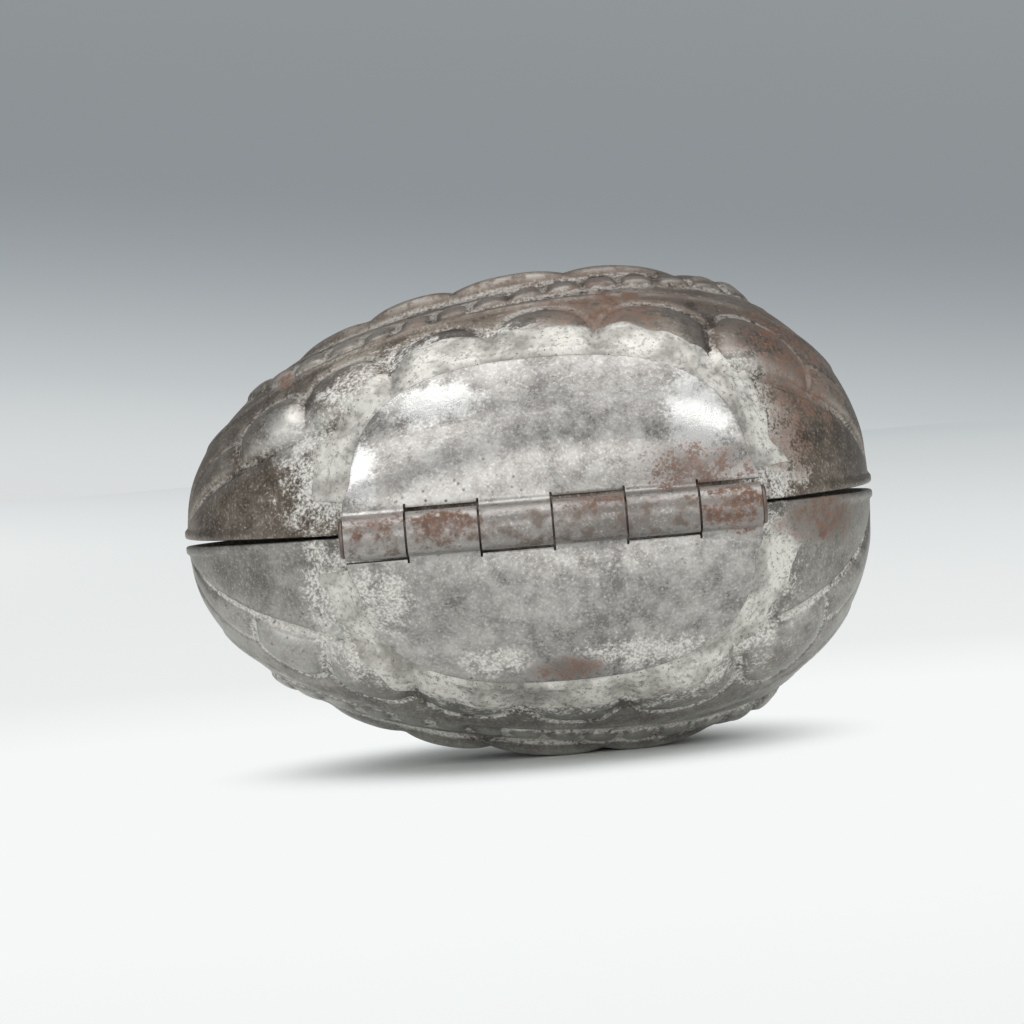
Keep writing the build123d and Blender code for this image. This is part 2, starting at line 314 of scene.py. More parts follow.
def pressing_tree():
    """The nodes that wrap the blank. The blank carries its place along the egg, its turn from
    the hinge side's rim, the relief outside and the relief of the hollow."""
    tree = bpy.data.node_groups.new("egg pressing", "GeometryNodeTree")
    tree.interface.new_socket("Blank", in_out="INPUT", socket_type="NodeSocketGeometry")
    for name, value in pressing_sizes.items():
        socket = tree.interface.new_socket(name, in_out="INPUT", socket_type="NodeSocketFloat")
        socket.default_value = value
    tree.interface.new_socket("Finish", in_out="INPUT", socket_type="NodeSocketMaterial")
    tree.interface.new_socket("Half", in_out="OUTPUT", socket_type="NodeSocketGeometry")
    size = put(tree, "NodeGroupInput").outputs
    x, turn, relief, hollow = (
        put(tree, "GeometryNodeInputNamedAttribute", {"Name": name}, data_type="FLOAT")
        for name in ("along", "turn", "relief", "hollow")
    )

    # The egg's radius here, as egg_radius gives it
    from_widest = put(tree, "ShaderNodeMath", {0: x, 1: size["Widest"]}, operation="SUBTRACT")
    blunt = put(tree, "FunctionNodeCompare", {0: from_widest, 1: 0.0}, data_type="FLOAT",
                operation="GREATER_THAN")
    reach, fullness = (
        put(tree, "GeometryNodeSwitch",
            {"Switch": blunt, "False": size["Pointed " + what], "True": size["Blunt " + what]},
            input_type="FLOAT")
        for what in ("Length", "Fullness")
    )
    apart = put(tree, "ShaderNodeMath", {0: from_widest}, operation="ABSOLUTE")
    ratio = put(tree, "ShaderNodeMath", {0: apart, 1: reach}, operation="DIVIDE")
    share = put(tree, "ShaderNodeMath", {0: ratio, 1: 1.0}, operation="MINIMUM")
    powered = put(tree, "ShaderNodeMath", {0: share, 1: fullness}, operation="POWER")
    left = put(tree, "ShaderNodeMath", {0: 1.0, 1: powered}, operation="SUBTRACT")
    root = put(tree, "ShaderNodeMath", {0: 1.0, 1: fullness}, operation="DIVIDE")
    slim = put(tree, "ShaderNodeMath", {0: left, 1: root}, operation="POWER")
    here = put(tree, "ShaderNodeMath", {0: slim, 1: size["Radius"]}, operation="MULTIPLY")

    # The egg's normal, along the axis and away from it
    less = put(tree, "ShaderNodeMath", {0: fullness, 1: 1.0}, operation="SUBTRACT")
    lean = put(tree, "ShaderNodeMath", {0: share, 1: less}, operation="POWER")
    lean = put(tree, "ShaderNodeMath", {0: lean, 1: reach}, operation="DIVIDE")
    side = put(tree, "ShaderNodeMath", {0: from_widest}, operation="SIGN")
    lean = put(tree, "ShaderNodeMath", {0: lean, 1: side}, operation="MULTIPLY")
    out = put(tree, "ShaderNodeMath", {0: slim, 1: less}, operation="POWER")
    out = put(tree, "ShaderNodeMath", {0: out, 1: size["Radius"]}, operation="DIVIDE")
    normal = put(tree, "ShaderNodeCombineXYZ", {0: lean, 1: out})
    normal = put(tree, "ShaderNodeVectorMath", {0: normal}, operation="NORMALIZE")
    normal = put(tree, "ShaderNodeSeparateXYZ", {0: normal}).outputs

    cosine, sine = (
        put(tree, "ShaderNodeMath", {0: turn}, operation=what) for what in ("COSINE", "SINE")
    )
    thin = put(tree, "ShaderNodeMath", {0: hollow, 1: size["Sheet"]}, operation="SUBTRACT")
    places = []
    for proud in (relief, thin):
        forward = put(tree, "ShaderNodeMath", {0: normal["X"], 1: proud, 2: x},
                      operation="MULTIPLY_ADD")
        away = put(tree, "ShaderNodeMath", {0: normal["Y"], 1: proud, 2: here},
                   operation="MULTIPLY_ADD")
        aside = put(tree, "ShaderNodeMath", {0: away, 1: cosine}, operation="MULTIPLY")
        aside = put(tree, "ShaderNodeMath", {0: aside, 1: -1.0}, operation="MULTIPLY")
        rise = put(tree, "ShaderNodeMath", {0: away, 1: sine, 2: size["Rim Clearance"]},
                   operation="MULTIPLY_ADD")
        rise = put(tree, "ShaderNodeMath", {0: rise, 1: size["Way Up"], 2: size["Middle Height"]},
                   operation="MULTIPLY_ADD")
        places.append(put(tree, "ShaderNodeCombineXYZ", {0: forward, 1: aside, 2: rise}))
    outer = put(tree, "GeometryNodeSetPosition", {"Geometry": size["Blank"], "Position": places[0]})
    wall = put(tree, "GeometryNodeExtrudeMesh",
               {"Mesh": outer, "Offset Scale": 0.0, "Individual": False}, mode="FACES")
    inner = put(tree, "GeometryNodeSetPosition",
                {"Geometry": wall, "Selection": wall.outputs["Top"], "Position": places[1]})
    inner = put(tree, "GeometryNodeFlipFaces", {"Mesh": inner})
    both = put(tree, "GeometryNodeJoinGeometry")
    tree.links.new(outer.outputs["Geometry"], both.inputs[0])
    tree.links.new(inner.outputs["Mesh"], both.inputs[0])
    closed = put(tree, "GeometryNodeMergeByDistance", {"Geometry": both, "Distance": 0.002 * mm})
    smooth = put(tree, "GeometryNodeSetShadeSmooth", {"Geometry": closed})
    real = put(tree, "GeometryNodeRealizeInstances", {"Geometry": smooth})
    finished = put(tree, "GeometryNodeSetMaterial", {"Geometry": real, "Material": size["Finish"]})
    put(tree, "NodeGroupOutput", {"Half": finished})
    return tree


def blank():
    """The stations along and round the egg, dense where the relief is fine."""
    swing = np.radians(np.linspace(-90, 90, 241))
    stations = widest + np.where(swing < 0, pointed_length, blunt_length) * np.sin(swing)
    rows = np.concatenate([
        np.linspace(0, 2.1, 9), np.linspace(2.9, 32, 24), np.linspace(32.9, 80, 56),
        np.linspace(81, 90, 8),
    ])
    rows = np.concatenate([rows, 180 - rows[-2::-1]])
    return np.meshgrid(stations, rows, indexing="ij")


def pressed_half(name, way_up, tree, finish):
    """One half pressed from the blank, its recesses and crests marked for the finish."""
    x, angle = blank()
    bare = pressed_relief(x, angle)
    evened = softened(bare, 10)
    index = np.arange(x.size).reshape(x.shape)
    corners = index[:-1, :-1], index[1:, :-1], index[1:, 1:], index[:-1, 1:]
    quads = np.stack(corners, axis=-1).reshape(-1, 4)
    if way_up < 0:
        quads = quads[:, ::-1]
    mesh = bpy.data.meshes.new(name)
    flat = np.stack([x, angle, np.zeros_like(x)], axis=-1).reshape(-1, 3) * mm
    mesh.from_pydata(flat.tolist(), [], quads.tolist())
    values = {
        "along": x * mm,
        "turn": np.radians(angle),
        "relief": (bare + lip_relief(x, angle)) * mm,
        "hollow": softened(bare, 2) * mm,
        "recess": np.clip((evened - bare) / marked_relief, 0, 1),
        "crest": np.clip((bare - evened) / marked_relief, 0, 1),
    }
    for key, grid in values.items():
        column = mesh.attributes.new(key, "FLOAT", "POINT")
        column.data.foreach_set("value", grid.reshape(-1).astype(np.float32))
    piece = new_object(name, mesh)
    pressing = piece.modifiers.new("pressing", "NODES")
    pressing.node_group = tree
    sizes = dict(pressing_sizes, **{"Way Up": float(way_up), "Finish": finish})
    for item in tree.interface.items_tree:
        if item.in_out == "INPUT" and item.name in sizes:
            pressing[item.identifier] = sizes[item.name]
    bpy.context.view_layer.update()
    ready = piece.evaluated_get(bpy.context.evaluated_depsgraph_get())
    made = bpy.data.meshes.new_from_object(ready)
    piece.modifiers.clear()
    piece.data = made
    made.set_sharp_from_angle(angle=math.radians(crease_angle))
    if way_up > 0:
        made.transform(opened)
    return piece


def mesh_piece(name, points, faces, finish, way_up):
    """A piece from points in millimetres over the parting plane, shaded smooth, and turned over
    for the lower half or opened with the upper one."""
    points = np.array(points, float).reshape(-1, 3)
    points[:, 2] = middle_height + way_up * points[:, 2]
    if way_up < 0:
        faces = [face[::-1] for face in faces]
    mesh = bpy.data.meshes.new(name)
    mesh.from_pydata((points * mm).tolist(), [], [list(map(int, face)) for face in faces])
    if way_up > 0:
        mesh.transform(opened)
    mesh.validate()
    mesh.materials.append(finish)
    mesh.shade_smooth()
    return new_object(name, mesh)


def leaf_back(x, angle):
    """How far from the egg's axis a leaf's back lies, at an angle in degrees."""
    hug = ramp(angle, 5.0, 27.0)
    straight = (radius + leaf_clearance) / np.cos(np.radians(angle))
    return straight + hug * (egg_radius(x) + leaf_seat - straight)


def on_leaf(x, height, above_back):
    """Where a leaf's sheet lies across the egg, at x and at a height over the parting plane."""
    angle = np.zeros_like(x)
    for _ in range(40):
        away = leaf_back(x, angle) + above_back
        angle = np.degrees(np.arcsin(np.clip(height / away, 0, 0.99)))
    return -away * np.cos(np.radians(angle))


def knuckle_span(number):
    """Where a knuckle begins and ends along the barrel."""
    begin = hinge.x - barrel_length / 2
    if number > 0:
        begin += end_knuckle + (number - 1) * knuckle_pitch + knuckle_gap / 2
    end = hinge.x + barrel_length / 2
    if number < knuckles - 1:
        end -= end_knuckle + (knuckles - 2 - number) * knuckle_pitch + knuckle_gap / 2
    return begin, end


def hinge_leaf(name, own, way_up, finish, shade_line_finish):
    """A leaf: the D of sheet on the egg, and its own knuckles rolled from the same sheet."""
    stations = np.concatenate([np.linspace(*knuckle_span(number), 13) for number in range(knuckles)])
    columns_of = np.arange(len(stations)).reshape(knuckles, -1)
    points, faces = [], []

    def row(xs, ys, zs):
        first = len(points)
        points.extend(zip(xs, ys, zs))
        return list(range(first, len(points)))

    def join(below, above):
        for i in range(len(below) - 1):
            faces.append((below[i], below[i + 1], above[i + 1], above[i]))

    # The D, with the half square of stations rounded to its outline
    u = (stations - hinge.x) / (barrel_length / 2)
    rows = []
    for v in np.linspace(0, 1, 27) ** 0.9:
        disc_x = u * math.sqrt(1 - v * v / 2)
        disc_y = v * np.sqrt(1 - u * u / 2)
        theta = np.arctan2(disc_y, disc_x)
        fuller = np.abs(np.cos(theta)) ** leaf_fullness + np.abs(np.sin(theta)) ** leaf_fullness
        fuller = fuller ** (-1 / leaf_fullness)
        height = bend_height + disc_y * fuller * (leaf_height - bend_height)
        flare = (barrel_length / 2 - leaf_half_width) * (1 - ramp(height - bend_height, 0, 3.5))
        x = hinge.x + disc_x * fuller * (leaf_half_width + flare)
        hammered = 0.07 * wander(x + 0.7 * height, (9, 14, 23), 11) * ramp(height, 5, 9)
        rows.append(row(x, on_leaf(x, height, leaf_sheet / 2 + hammered), height))
    for low, high in zip(rows, rows[1:]):
        join(low, high)

    # Below the D, its own knuckles bend out and roll round the pin, and the rest is cut short
    upright = -(radius + leaf_clearance + leaf_sheet / 2)
    path = []
    for turn in -math.radians(180 - roll_start) * np.linspace(0, 1, 8)[1:]:
        path.append((upright - bend_radius + bend_radius * math.cos(turn),
                     bend_height + bend_radius * math.sin(turn)))
    for turn in np.radians(np.linspace(roll_start, roll_end, 30)[1:]):
        path.append((hinge.y + roll_radius * math.cos(turn), roll_radius * math.sin(turn)))
    others = [number for number in range(knuckles) if number not in own]
    for numbers, outline in ((own, path), (others, [(upright, bend_height - 0.5)])):
        for number in numbers:
            columns = columns_of[number]
            above = [rows[0][i] for i in columns]
            for y, z in outline:
                below = row(stations[columns], [y] * len(columns), [z] * len(columns))
                join(below, above)
                above = below

    piece = mesh_piece(name, points, faces, finish, way_up)
    # The second finish is the dark edge, painted shade along the leaf's outline; the cut rim and the
    # rounded edges take it
    piece.data.materials.append(shade_line_finish)
    wall = piece.modifiers.new("sheet", "SOLIDIFY")
    wall.thickness = leaf_sheet * mm
    wall.offset = 0
    wall.use_even_offset = True
    wall.material_offset_rim = 1
    rounding = piece.modifiers.new("worn edges", "BEVEL")
    rounding.width = 0.2 * mm
    rounding.material = 1
    rounding.segments = 2
    rounding.limit_method = "ANGLE"
    rounding.angle_limit = math.radians(50)
    return piece


# The solder starts above the bend, reaches in under the leaf and sinks into the half's sheet
seam_foot, seam_inset, seam_length, seam_stations = 4.2, 1.1, 100, 240


def solder_seam(name, way_up, finish, seed):
    """The uneven seam of solder along a leaf's edge, thick at the edge and ragged outside it."""
    turn = np.linspace(math.pi - 0.06, 0.06, seam_stations)
    walked = np.linspace(0, seam_length, seam_stations)
    outline_x = np.sign(np.cos(turn)) * np.abs(np.cos(turn)) ** (2 / leaf_fullness)
    edge_x = hinge.x + leaf_half_width * outline_x
    edge_up = leaf_height * np.abs(np.sin(turn)) ** (2 / leaf_fullness)
    keep = edge_up > seam_foot
    edge_x, edge_up, walked, turn = (run[keep] for run in (edge_x, edge_up, walked, turn))
    run_x, run_up = np.gradient(edge_x), np.gradient(edge_up)
    length = np.hypot(run_x, run_up)
    out_x, out_up = -run_up / length, run_x / length
    sides = np.abs(np.cos(turn)) ** 1.3
    ragged = wander(walked, (7.3, 13, 23, 37), seed)
    spread = 3.4 + 2.4 * sides + 1.2 * ragged * (0.4 + sides)
    lumps = wander(walked, (3.3, 5.9, 9.1), seed + 2)
    leaf_rise = (leaf_seat + leaf_sheet) * (0.45 + 0.55 * ramp(edge_up, seam_foot, 11.0))

    # Each line of the seam runs this far outside the leaf's edge and this far over the egg
    level = np.zeros_like(spread)
    section = [
        (level - seam_inset, level + 1.5),
        (level + 0.02, level + 1.4),
        (level + 0.22, 0.6 * leaf_rise + 0.06 * lumps),
    ]
    for q in (0.15, 0.3, 0.45, 0.6, 0.75, 0.88, 0.96):
        slope = 0.66 * leaf_rise * (1 - q) ** 1.5 + 0.1 * (1 - q)
        section.append((q * spread + 0.1, slope + 0.07 * lumps * math.sin(math.pi * q)))
    section += [
        (spread, level - 0.2),
        (spread - 0.6, level - 0.5),
        (level, level - 0.5),
        (level - seam_inset, level - 0.4),
    ]
    points = []
    for out, rise in section:
        x = edge_x + out_x * out
        up = np.maximum(edge_up + out_up * out, 3.9)
        here = egg_radius(x)
        angle = np.degrees(np.arcsin(np.clip(up / here, 0, 0.98)))
        proud = rise + np.where((out > 0) | (rise < 0), pressed_relief(x, angle), 0)
        away = here + proud
        straight = (radius + leaf_clearance) / np.cos(np.radians(angle)) + leaf_sheet
        away = np.where(angle < 20, np.minimum(away, straight + 0.3), away)
        turned = np.radians(angle)
        points.append(np.stack([x, -away * np.cos(turned), away * np.sin(turned)], axis=-1))
    loops, count = len(points), len(edge_x)
    index = np.arange(loops * count).reshape(loops, count)
    faces = []
    for j in range(loops):
        k = (j + 1) % loops
        for i in range(count - 1):
            faces.append((index[j, i], index[k, i], index[k, i + 1], index[j, i + 1]))
    faces += [tuple(index[::-1, 0]), tuple(index[:, -1])]
    return mesh_piece(name, points, faces, finish, way_up)


def new_finish(name):
    """An empty material, with its node tree and the Object coordinates in it."""
    material = bpy.data.materials.new(name)
    material.use_nodes = True
    tree = material.node_tree
    tree.nodes.clear()
    return material, tree, put(tree, "ShaderNodeTexCoord").outputs["Object"]


def laid_over(tree, look, mask, over):
    """A look of colour, metal and roughness with another over it where the mask lies. What is
    None in the upper look leaves the lower one as it was."""
    kinds = ("RGBA", 6, 7), ("FLOAT", 2, 3), ("FLOAT", 2, 3)
    return [
        below if above is None
        else put(tree, "ShaderNodeMix", {0: mask, low: below, high: above}, data_type=kind)
        for below, above, (kind, low, high) in zip(look, over, kinds)
    ]


def dress(tree, look, height, strength, depth):
    """Ends a metal's nodes with its look, and its height felt as a bump of a depth in mm."""
    bump = put(tree, "ShaderNodeBump", {"Height": height, "Strength": strength, "Distance": depth * mm})
    colour, metal, roughness = look
    shader = put(tree, "ShaderNodeBsdfPrincipled",
                 {"Base Color": colour, "Metallic": metal, "Roughness": roughness, "Normal": bump})
    put(tree, "ShaderNodeOutputMaterial", {"Surface": shader})


def patches(tree, place, spots, edge_noise):
    """One mask from rounded patches, each a centre and half sizes in metres, with uneven edges."""
    total = None
    for centre, half in spots:
        off = put(tree, "ShaderNodeVectorMath", {0: place, 1: centre}, operation="SUBTRACT")
        off = put(tree, "ShaderNodeVectorMath", {0: off, 1: half}, operation="DIVIDE")
        far = put(tree, "ShaderNodeVectorMath", {0: off}, operation="LENGTH")
        far = put(tree, "ShaderNodeMath", {0: edge_noise, 1: -2.4, 2: far.outputs["Value"]},
                  operation="MULTIPLY_ADD")
        near = put(tree, "ShaderNodeMapRange", {"Value": far, "From Min": 1.2, "From Max": 0.45},
                   interpolation_type="SMOOTHSTEP")
        if total is not None:
            near = put(tree, "ShaderNodeMath", {0: total, 1: near}, operation="MAXIMUM")
        total = near
    return total


# Counts to the metre: clouds of tarnish 15 mm across, mottling of 2.5 mm, grain of 0.4 mm, drawn
# coarser than the real one so that it shows, and pinholes 1.3 mm apart
tin_scales, pinhole_scale = (65.0, 400.0, 2300.0), 780.0
handling_stain, pinhole = paint("#6a5d55"), paint("#3d352f")
dull_crust, pale_crust = paint("#aeaaa3"), paint("#dddad4")
dark_rust, light_rust = paint("#44322a"), paint("#895a3c")


def tinned_sheet(name, tones, rough, rusty_places, highlight_places, pale_places, stained_places=(),
                 from_relief=True, pits=0.5, residue=0.6, seed=0.0):
    """Hot-tinned mild steel sheet, pressed and long in use: the tin has greyed and worn, pits and
    rust show the steel, and old flux and sugar lie in the recesses, which are also darkened as
    painted shade. Bright tin lies on the crests, worn there and also a painted highlight, and in
    the listed patches as painted highlights. The tones are the dark, middle and light of the tin
    and its shine, and rough is its smoothest and roughest."""
    material, tree, own_place = new_finish(name)
    place = put(tree, "ShaderNodeVectorMath", {0: own_place, 1: (0.0, 0.0, seed)}, operation="ADD")
    # The patches lie on the outside of a half alone
    outside = 1.0
    if from_relief:
        axis = (0.0, 0.0, middle_height * mm)
        from_axis = put(tree, "ShaderNodeVectorMath", {0: own_place, 1: axis}, operation="SUBTRACT")
        from_axis = put(tree, "ShaderNodeVectorMath", {0: from_axis, 1: (0.2, 1.0, 1.0)},
                        operation="MULTIPLY")
        facing = put(tree, "ShaderNodeTexCoord").outputs["Normal"]
        facing = put(tree, "ShaderNodeVectorMath", {0: facing, 1: from_axis}, operation="DOT_PRODUCT")
        outside = put(tree, "ShaderNodeMath", {0: facing.outputs["Value"], 1: 0.0},
                      operation="GREATER_THAN")
    clouds, mottle, grain = (
        put(tree, "ShaderNodeTexNoise",
            {"Vector": place, "Scale": scale, "Detail": detail, "Roughness": broken_up})
        for scale, detail, broken_up in zip(tin_scales, (5.0, 4.0, 2.0), (0.6, 0.65, 0.7))
    )
    tone = put(tree, "ShaderNodeMath", {0: mottle, 1: 0.75, 2: -0.375}, operation="MULTIPLY_ADD")
    tone = put(tree, "ShaderNodeMath", {0: clouds, 1: tone}, operation="ADD")
    speck = put(tree, "ShaderNodeMath", {0: grain, 1: 0.6, 2: -0.3}, operation="MULTIPLY_ADD")
    tone = put(tree, "ShaderNodeMath", {0: tone, 1: speck}, operation="ADD")
    body = put(tree, "ShaderNodeValToRGB", {"Fac": tone})
    grade(body.color_ramp, ((0.28, tones[0]), (0.5, tones[1]), (0.72, tones[2])))
    roughness = put(tree, "ShaderNodeMapRange", {"Value": tone, "From Min": 0.25, "From Max": 0.75,
                                                 "To Min": rough[0], "To Max": rough[1]})
    metal = put(tree, "ShaderNodeMapRange", {"Value": tone, "From Min": 0.3, "From Max": 0.7,
                                             "To Min": 0.72, "To Max": 0.95})
    look = body, metal, roughness

    # Bright tin: painted highlights in the listed patches, and on the crests worn tin that also stands
    # as painted highlight
    ragged = put(tree, "ShaderNodeMath", {0: grain, 1: 0.6, 2: mottle}, operation="MULTIPLY_ADD")
    ragged = put(tree, "ShaderNodeMath", {0: ragged, 1: 0.8}, operation="SUBTRACT")
    if from_relief:
        crest = put(tree, "ShaderNodeAttribute", attribute_name="crest").outputs["Fac"]
        for factor in (mottle, 0.75):
            crest = put(tree, "ShaderNodeMath", {0: crest, 1: factor}, operation="MULTIPLY")
    else:
        crest = put(tree, "ShaderNodeMath", {0: mottle, 1: 0.3}, operation="MULTIPLY")
    calm = put(tree, "ShaderNodeMath", {0: ragged, 1: 0.45}, operation="MULTIPLY")
    bright = patches(tree, own_place, highlight_places, calm)
    for factor in (0.6, outside):
        bright = put(tree, "ShaderNodeMath", {0: bright, 1: factor}, operation="MULTIPLY")
    bright = put(tree, "ShaderNodeMath", {0: bright, 1: crest}, operation="MAXIMUM")
    shine = paint(tones[3])
    look = laid_over(tree, look, bright, (shine, None, rough[0] * 0.8))

    # Fine pale specks where the tin still shines between the tarnish
    glints = put(tree, "ShaderNodeMapRange",
                 {"Value": grain, "From Min": 0.58, "From Max": 0.74, "To Max": 0.32})
    look = laid_over(tree, look, glints, (shine, None, None))

    # Brown handling stains
    if stained_places:
        stained = patches(tree, own_place, stained_places, ragged)
        worn = put(tree, "ShaderNodeMapRange", {"Value": mottle, "From Min": 0.4, "From Max": 0.6,
                                                "To Min": 0.15, "To Max": 0.85})
        stained = put(tree, "ShaderNodeMath", {0: stained, 1: worn}, operation="MULTIPLY")
        look = laid_over(tree, look, stained, (handling_stain, None, 0.6))

    # Dried flux and sugar, pale in the recesses and in a few places; the recesses are also darkened
    # with the dark tone as painted shade
    pale = patches(tree, own_place, pale_places, ragged)
    fine = put(tree, "ShaderNodeMath", {0: grain, 1: mottle}, operation="ADD")
    flecks = put(tree, "ShaderNodeMapRange",
                 {"Value": fine, "From Min": 0.75, "From Max": 1.1, "To Min": 0.35, "To Max": 1.0})
    for factor in (flecks, outside):
        pale = put(tree, "ShaderNodeMath", {0: pale, 1: factor}, operation="MULTIPLY")
    if from_relief:
        recess = put(tree, "ShaderNodeAttribute", attribute_name="recess").outputs["Fac"]
        broken = put(tree, "ShaderNodeMapRange", {"Value": tone, "From Min": 0.36, "From Max": 0.56})
        lines = put(tree, "ShaderNodeMapRange", {"Value": recess, "From Min": 0.15, "From Max": 0.5})
        for factor in (broken, residue):
            lines = put(tree, "ShaderNodeMath", {0: lines, 1: factor}, operation="MULTIPLY")
        # The dark tone laid in the recesses is painted shade
        shade = put(tree, "ShaderNodeMath", {0: recess, 1: 0.75 - 0.5 * residue},
                    operation="MULTIPLY")
        look = laid_over(tree, look, shade, (paint(tones[0]), None, None))
        pale = put(tree, "ShaderNodeMath", {0: pale, 1: lines}, operation="MAXIMUM")
    crust = put(tree, "ShaderNodeMapRange", {"Value": grain, "From Min": 0.35, "From Max": 0.6})
    crust = put(tree, "ShaderNodeMix", {0: crust, 6: dull_crust, 7: pale_crust}, data_type="RGBA")
    look = laid_over(tree, look, pale, (crust, None, None))
    dull = put(tree, "ShaderNodeMath", {0: pale, 1: 0.9}, operation="MULTIPLY")
    look = laid_over(tree, look, dull, (None, 0.1, 0.75))

    # Rust, in flecked patches, and dark pinholes in the clouds of tarnish
    rust = patches(tree, own_place, rusty_places, ragged)
    rusty_flecks = put(tree, "ShaderNodeMapRange",
                       {"Value": fine, "From Min": 0.78, "From Max": 1.14, "To Max": 0.82})
    for factor in (rusty_flecks, outside):
        rust = put(tree, "ShaderNodeMath", {0: rust, 1: factor}, operation="MULTIPLY")
    cells = put(tree, "ShaderNodeTexVoronoi", {"Vector": place, "Scale": pinhole_scale})
    hole = put(tree, "ShaderNodeMapRange",
               {"Value": cells.outputs["Distance"], "From Min": 0.22, "From Max": 0.08})
    where = put(tree, "ShaderNodeMapRange",
                {"Value": clouds, "From Min": 0.62 - 0.3 * pits, "From Max": 0.75})
    hole = put(tree, "ShaderNodeMath", {0: hole, 1: where}, operation="MULTIPLY")
    rust_tone = put(tree, "ShaderNodeMapRange", {"Value": grain, "From Min": 0.35, "From Max": 0.7})
    rust_tone = put(tree, "ShaderNodeMix", {0: rust_tone, 6: dark_rust, 7: light_rust},
                    data_type="RGBA")
    look = laid_over(tree, look, hole, (pinhole, None, None))
    look = laid_over(tree, look, rust, (rust_tone, None, None))
    bare = put(tree, "ShaderNodeMath", {0: rust, 1: hole}, operation="MAXIMUM")
    look = laid_over(tree, look, bare, (None, 0.1, 0.8))

    height = put(tree, "ShaderNodeMath", {0: grain, 1: 0.3, 2: mottle}, operation="MULTIPLY_ADD")
    height = put(tree, "ShaderNodeMath", {0: hole, 1: -0.9, 2: height}, operation="MULTIPLY_ADD")
    height = put(tree, "ShaderNodeMath", {0: pale, 1: 0.5, 2: height}, operation="MULTIPLY_ADD")
    dress(tree, look, height, 0.5, 0.12)
    return material


# The patches are centres and half sizes in metres, where the wear lies on the hinge side; the bright
# ones are painted highlights
upper_tin = tinned_sheet(
    "browned hot tinned sheet",
    tones=("#4e453d", "#746a60", "#9a9186", "#dcdad5"), rough=(0.30, 0.48),
    rusty_places=[
        ((0.0124, -0.0223, 0.0625), (0.0078, 0.009, 0.0050)),
        ((0.0395, -0.0179, 0.0529), (0.0080, 0.011, 0.0085)),
        ((0.0373, -0.0254, 0.0434), (0.0042, 0.006, 0.0048)),
        ((-0.0135, -0.0154, 0.0640), (0.0012, 0.002, 0.0012)),
        ((-0.0333, -0.0109, 0.0577), (0.0016, 0.002, 0.0015)),
    ],
    # Bright tin painted on as highlights
    highlight_places=[
        ((-0.0319, -0.0203, 0.0500), (0.0065, 0.008, 0.0050)),
        ((0.0022, -0.0257, 0.0588), (0.0060, 0.006, 0.0040)),
    ],
    pale_places=[
        ((-0.0285, -0.0267, 0.0440), (0.0065, 0.009, 0.0090)),
        ((-0.0215, -0.0240, 0.0545), (0.0065, 0.009, 0.0040)),
        ((-0.0130, -0.0240, 0.0590), (0.0075, 0.009, 0.0030)),
        ((0.0342, -0.0279, 0.0420), (0.0055, 0.009, 0.0090)),
        ((0.0320, -0.0260, 0.0520), (0.0050, 0.009, 0.0040)),
        ((0.0022, -0.0257, 0.0598), (0.0130, 0.008, 0.0028)),
    ],
    stained_places=[
        ((0.0080, -0.0130, 0.0665), (0.0340, 0.010, 0.0050)),
        ((0.0360, -0.0130, 0.0600), (0.0120, 0.012, 0.0060)),
    ],
    pits=0.6, residue=0.45,
)
lower_tin = tinned_sheet(
    "greyed hot tinned sheet",
    tones=("#64605a", "#87837d", "#a4a19b", "#dad8d3"), rough=(0.32, 0.50),
    rusty_places=[((0.0421, -0.0219, 0.0318), (0.0095, 0.008, 0.0032))],
    # Bright tin painted on as a highlight
    highlight_places=[((-0.0300, -0.0250, 0.0200), (0.0040, 0.006, 0.0050))],
    pale_places=[
        ((-0.0285, -0.0272, 0.0280), (0.0045, 0.009, 0.0070)),
        ((-0.0235, -0.0258, 0.0185), (0.0065, 0.009, 0.0045)),
        ((-0.0130, -0.0258, 0.0140), (0.0080, 0.009, 0.0035)),
        ((0.0055, -0.0260, 0.0110), (0.0260, 0.009, 0.0042)),
        ((0.0335, -0.0285, 0.0270), (0.0045, 0.009, 0.0080)),
        ((0.0300, -0.0270, 0.0180), (0.0050, 0.009, 0.0040)),
    ],
    pits=0.4, residue=0.95, seed=0.31,
)
leaf_tin = tinned_sheet(
    "worn hot tinned leaf sheet",
    tones=("#5e5954", "#8d8883", "#aba7a2", "#f0efed"), rough=(0.27, 0.44),
    rusty_places=[
        ((0.0235, -0.0345, 0.0400), (0.0070, 0.006, 0.0038)),
        ((-0.0215, -0.0395, 0.0365), (0.0038, 0.004, 0.0020)),
        ((-0.0115, -0.0395, 0.0355), (0.0040, 0.004, 0.0022)),
        ((0.0085, -0.0390, 0.0372), (0.0042, 0.004, 0.0012)),
        ((0.0280, -0.0395, 0.0350), (0.0050, 0.004, 0.0030)),
        ((0.0040, -0.0290, 0.0139), (0.0050, 0.005, 0.0016)),
        ((0.0300, -0.0390, 0.0330), (0.0040, 0.005, 0.0030)),
    ],
    # Bright tin painted on as highlights and reflections on the plate
    highlight_places=[
        ((-0.0231, -0.0315, 0.0425), (0.0030, 0.006, 0.0090)),
        ((-0.0124, -0.0300, 0.0525), (0.0090, 0.006, 0.0035)),
        ((0.0245, -0.0330, 0.0480), (0.0058, 0.007, 0.0085)),
    ],
    pale_places=[
        ((-0.0216, -0.0310, 0.0265), (0.0048, 0.006, 0.0055)),
        ((-0.0064, -0.0300, 0.0155), (0.0050, 0.006, 0.0020)),
        ((0.0147, -0.0300, 0.0155), (0.0080, 0.006, 0.0022)),
    ],
    stained_places=[((0.0033, -0.0400, 0.0345), (0.0420, 0.0060, 0.0036))],
    from_relief=False, pits=0.3, seed=0.77,
)


